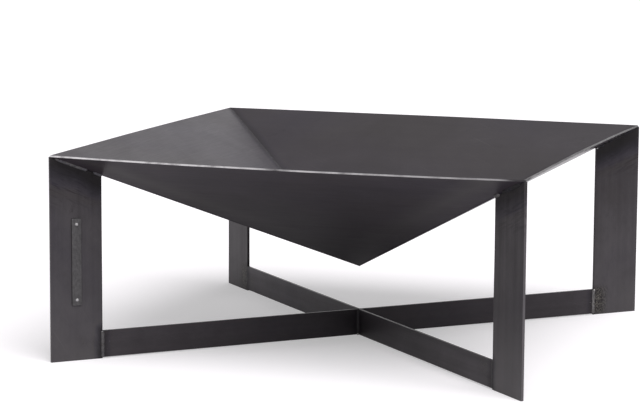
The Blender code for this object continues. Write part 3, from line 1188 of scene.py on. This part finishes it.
def buildPlate():
    inner, outer = spanOf("name_plate", plateOut)
    low, high = spanOf("name_plate", up)
    back, front = spanOf("name_plate", plateAcross)
    edge = plateShape["edge"]
    curve = bpy.data.curves.new("plateOutline", "CURVE")
    curve.dimensions = "2D"
    curve.fill_mode = "BOTH"
    curve.extrude = (front - back) / 2 - edge
    curve.bevel_depth = edge
    curve.bevel_resolution = plateShape["edgeSteps"]
    outline = plateOutline((outer - inner) / 2 - edge, (high - low) / 2 - edge)
    spline = curve.splines.new("POLY")
    spline.points.add(len(outline) - 1)
    for point, (x, y) in zip(spline.points, outline):
        point.co = (x, y, 0, 1)
    spline.use_cyclic_u = True
    guide = bpy.data.objects.new("plateOutline", curve)
    scene.collection.objects.link(guide)
    mesh = bpy.data.meshes.new_from_object(guide.evaluated_get(bpy.context.evaluated_depsgraph_get()))
    bpy.data.objects.remove(guide)
    bm = bmesh.new()
    bm.from_mesh(mesh)
    bmesh.ops.remove_doubles(bm, verts=bm.verts, dist=mergeGap)
    middle = plateOut * (inner + outer) / 2 + plateAcross * (back + front) / 2 + up * (low + high) / 2
    stand = Matrix.Translation(middle) @ Matrix((plateOut, up, -plateAcross)).transposed().to_4x4()
    bmesh.ops.transform(bm, matrix=stand, verts=bm.verts)
    for face in bm.faces:
        onSide = abs(face.normal.dot(plateAcross)) < plateShape["sideFacing"]
        face.material_index = 1 if onSide else 0
    skins = (smallSkins["plateSkin"], smallSkins["plateSide"])
    plate = finishPiece("name_plate", bm, skins)
    plate.data.set_sharp_from_angle(angle=math.radians(plateShape["sharpFrom"]))


# rivets, in shares of the head's radius
rivetShape = {
    "shank": 0.55,
    "shoulder": 0.98,
    "tail": 0.8,
    "gap": 0.00005,
    "headSteps": 8,
    "tailSteps": 6,
    "around": 28,
    "sharpFrom": 50,
}


def quarterTurn(steps):
    return [math.radians(90) * step / steps for step in range(steps + 1)]


# half section of a rivet from the top of its head to the end of its tail: (radius, height)
def rivetProfile(radius, top, tail):
    plateTop, tailSeat = spanOf("name_plate", plateAcross)[1], -size["halfBar"]
    shank, gap = radius * rivetShape["shank"], rivetShape["gap"]
    profile = []
    for angle in quarterTurn(rivetShape["headSteps"]):
        profile.append((radius * math.sin(angle), plateTop + (top - plateTop) * math.cos(angle)))
    profile.append((radius * rivetShape["shoulder"], plateTop - gap))
    profile += [(shank, plateTop - gap), (shank, tailSeat + gap)]
    for angle in quarterTurn(rivetShape["tailSteps"]):
        depth = (tailSeat - tail) * math.sin(angle)
        profile.append((radius * rivetShape["tail"] * math.cos(angle), tailSeat - depth))
    return profile


def buildRivet(node):
    tail, top = spanOf(node, plateAcross)
    left, right = spanOf(node, plateOut)
    low, high = spanOf(node, up)
    bm = bmesh.new()
    verts = [bm.verts.new((x, 0, z)) for x, z in rivetProfile((right - left) / 2, top, tail)]
    edges = [bm.edges.new(pair) for pair in zip(verts, verts[1:])]
    bmesh.ops.spin(
        bm,
        geom=verts + edges,
        cent=(0, 0, 0),
        axis=(0, 0, 1),
        angle=math.radians(360),
        steps=rivetShape["around"],
        use_merge=True,
    )
    bmesh.ops.remove_doubles(bm, verts=bm.verts, dist=mergeGap)
    middle = plateOut * (left + right) / 2 + up * (low + high) / 2
    turn = Matrix((plateOut, up.cross(plateOut).cross(plateOut), plateAcross)).transposed()
    bmesh.ops.transform(bm, matrix=Matrix.Translation(middle) @ turn.to_4x4(), verts=bm.verts)
    rivet = finishPiece(node, bm, (smallSkins["rivetSkin"],))
    rivet.data.set_sharp_from_angle(angle=math.radians(rivetShape["sharpFrom"]))


buildPlate()
for node in ("plate_rivet_upper", "plate_rivet_lower"):
    buildRivet(node)
print("name plate riveted on")


# floor, world and light
studio = {
    "floorReach": 70.0,
    "floorSegments": 96,
    "floorColour": (0.755, 0.728, 0.757),
    "floorGlow": 0.36,
    "skyGlow": 0.30,
    # soft lamps: strength, the way each shines from, and how wide it looks in degrees
    "lamps": {
        "softKey": (2.75, (0.39, -0.39, 0.83), 52.0),
        "leftFill": (0.27, (-0.94, 0.0, 0.34), 45.0),
        "backFill": (0.25, (0.0, 0.73, 0.68), 45.0),
    },
}


# 1 for rays that come from the camera or through a gloss, else 0
def seenDirectly(tree):
    path = addNode(tree, "LightPath").outputs
    glossy = maths(tree, "MAXIMUM", path["Is Glossy Ray"], path["Is Transmission Ray"])
    return maths(tree, "MAXIMUM", path["Is Camera Ray"], glossy)


def buildFloor():
    bm = bmesh.new()
    bmesh.ops.create_circle(
        bm, cap_ends=True, segments=studio["floorSegments"], radius=studio["floorReach"]
    )
    mesh = bpy.data.meshes.new("floor")
    bm.to_mesh(mesh)
    bm.free()
    floor = bpy.data.objects.new("floor", mesh)
    scene.collection.objects.link(floor)
    material, tree, shader = newMaterial("paleFloor")
    tree.nodes.remove(shader)
    matt = addNode(tree, "BsdfDiffuse", {"Color": (*studio["floorColour"], 1)})
    strength = times(tree, seenDirectly(tree), studio["floorGlow"])
    glow = addNode(tree, "Emission", {"Strength": strength})
    both = addNode(tree, "AddShader", {0: matt.outputs[0], 1: glow.outputs[0]})
    tree.links.new(both.outputs[0], tree.nodes["Material Output"].inputs["Surface"])
    mesh.materials.append(material)


def buildWorld():
    world = bpy.data.worlds.new("studio")
    world.use_nodes = True
    scene.world = world
    tree = world.node_tree
    background = tree.nodes["Background"]
    background.inputs["Color"].default_value = (1, 1, 1, 1)
    strength = ranged(tree, seenDirectly(tree), 0.0, 1.0, studio["skyGlow"], 1.0)
    tree.links.new(strength, background.inputs["Strength"])


def buildLamps():
    for name, (strength, comesFrom, width) in studio["lamps"].items():
        data = bpy.data.lights.new(name, "SUN")
        data.energy = strength
        data.angle = math.radians(width)
        lamp = bpy.data.objects.new(name, data)
        lamp.rotation_mode = "QUATERNION"
        lamp.rotation_quaternion = Vector(comesFrom).to_track_quat("Z", "Y")
        scene.collection.objects.link(lamp)


buildFloor()
buildWorld()
buildLamps()
scene.view_settings.view_transform = "Standard"
print("studio lit")
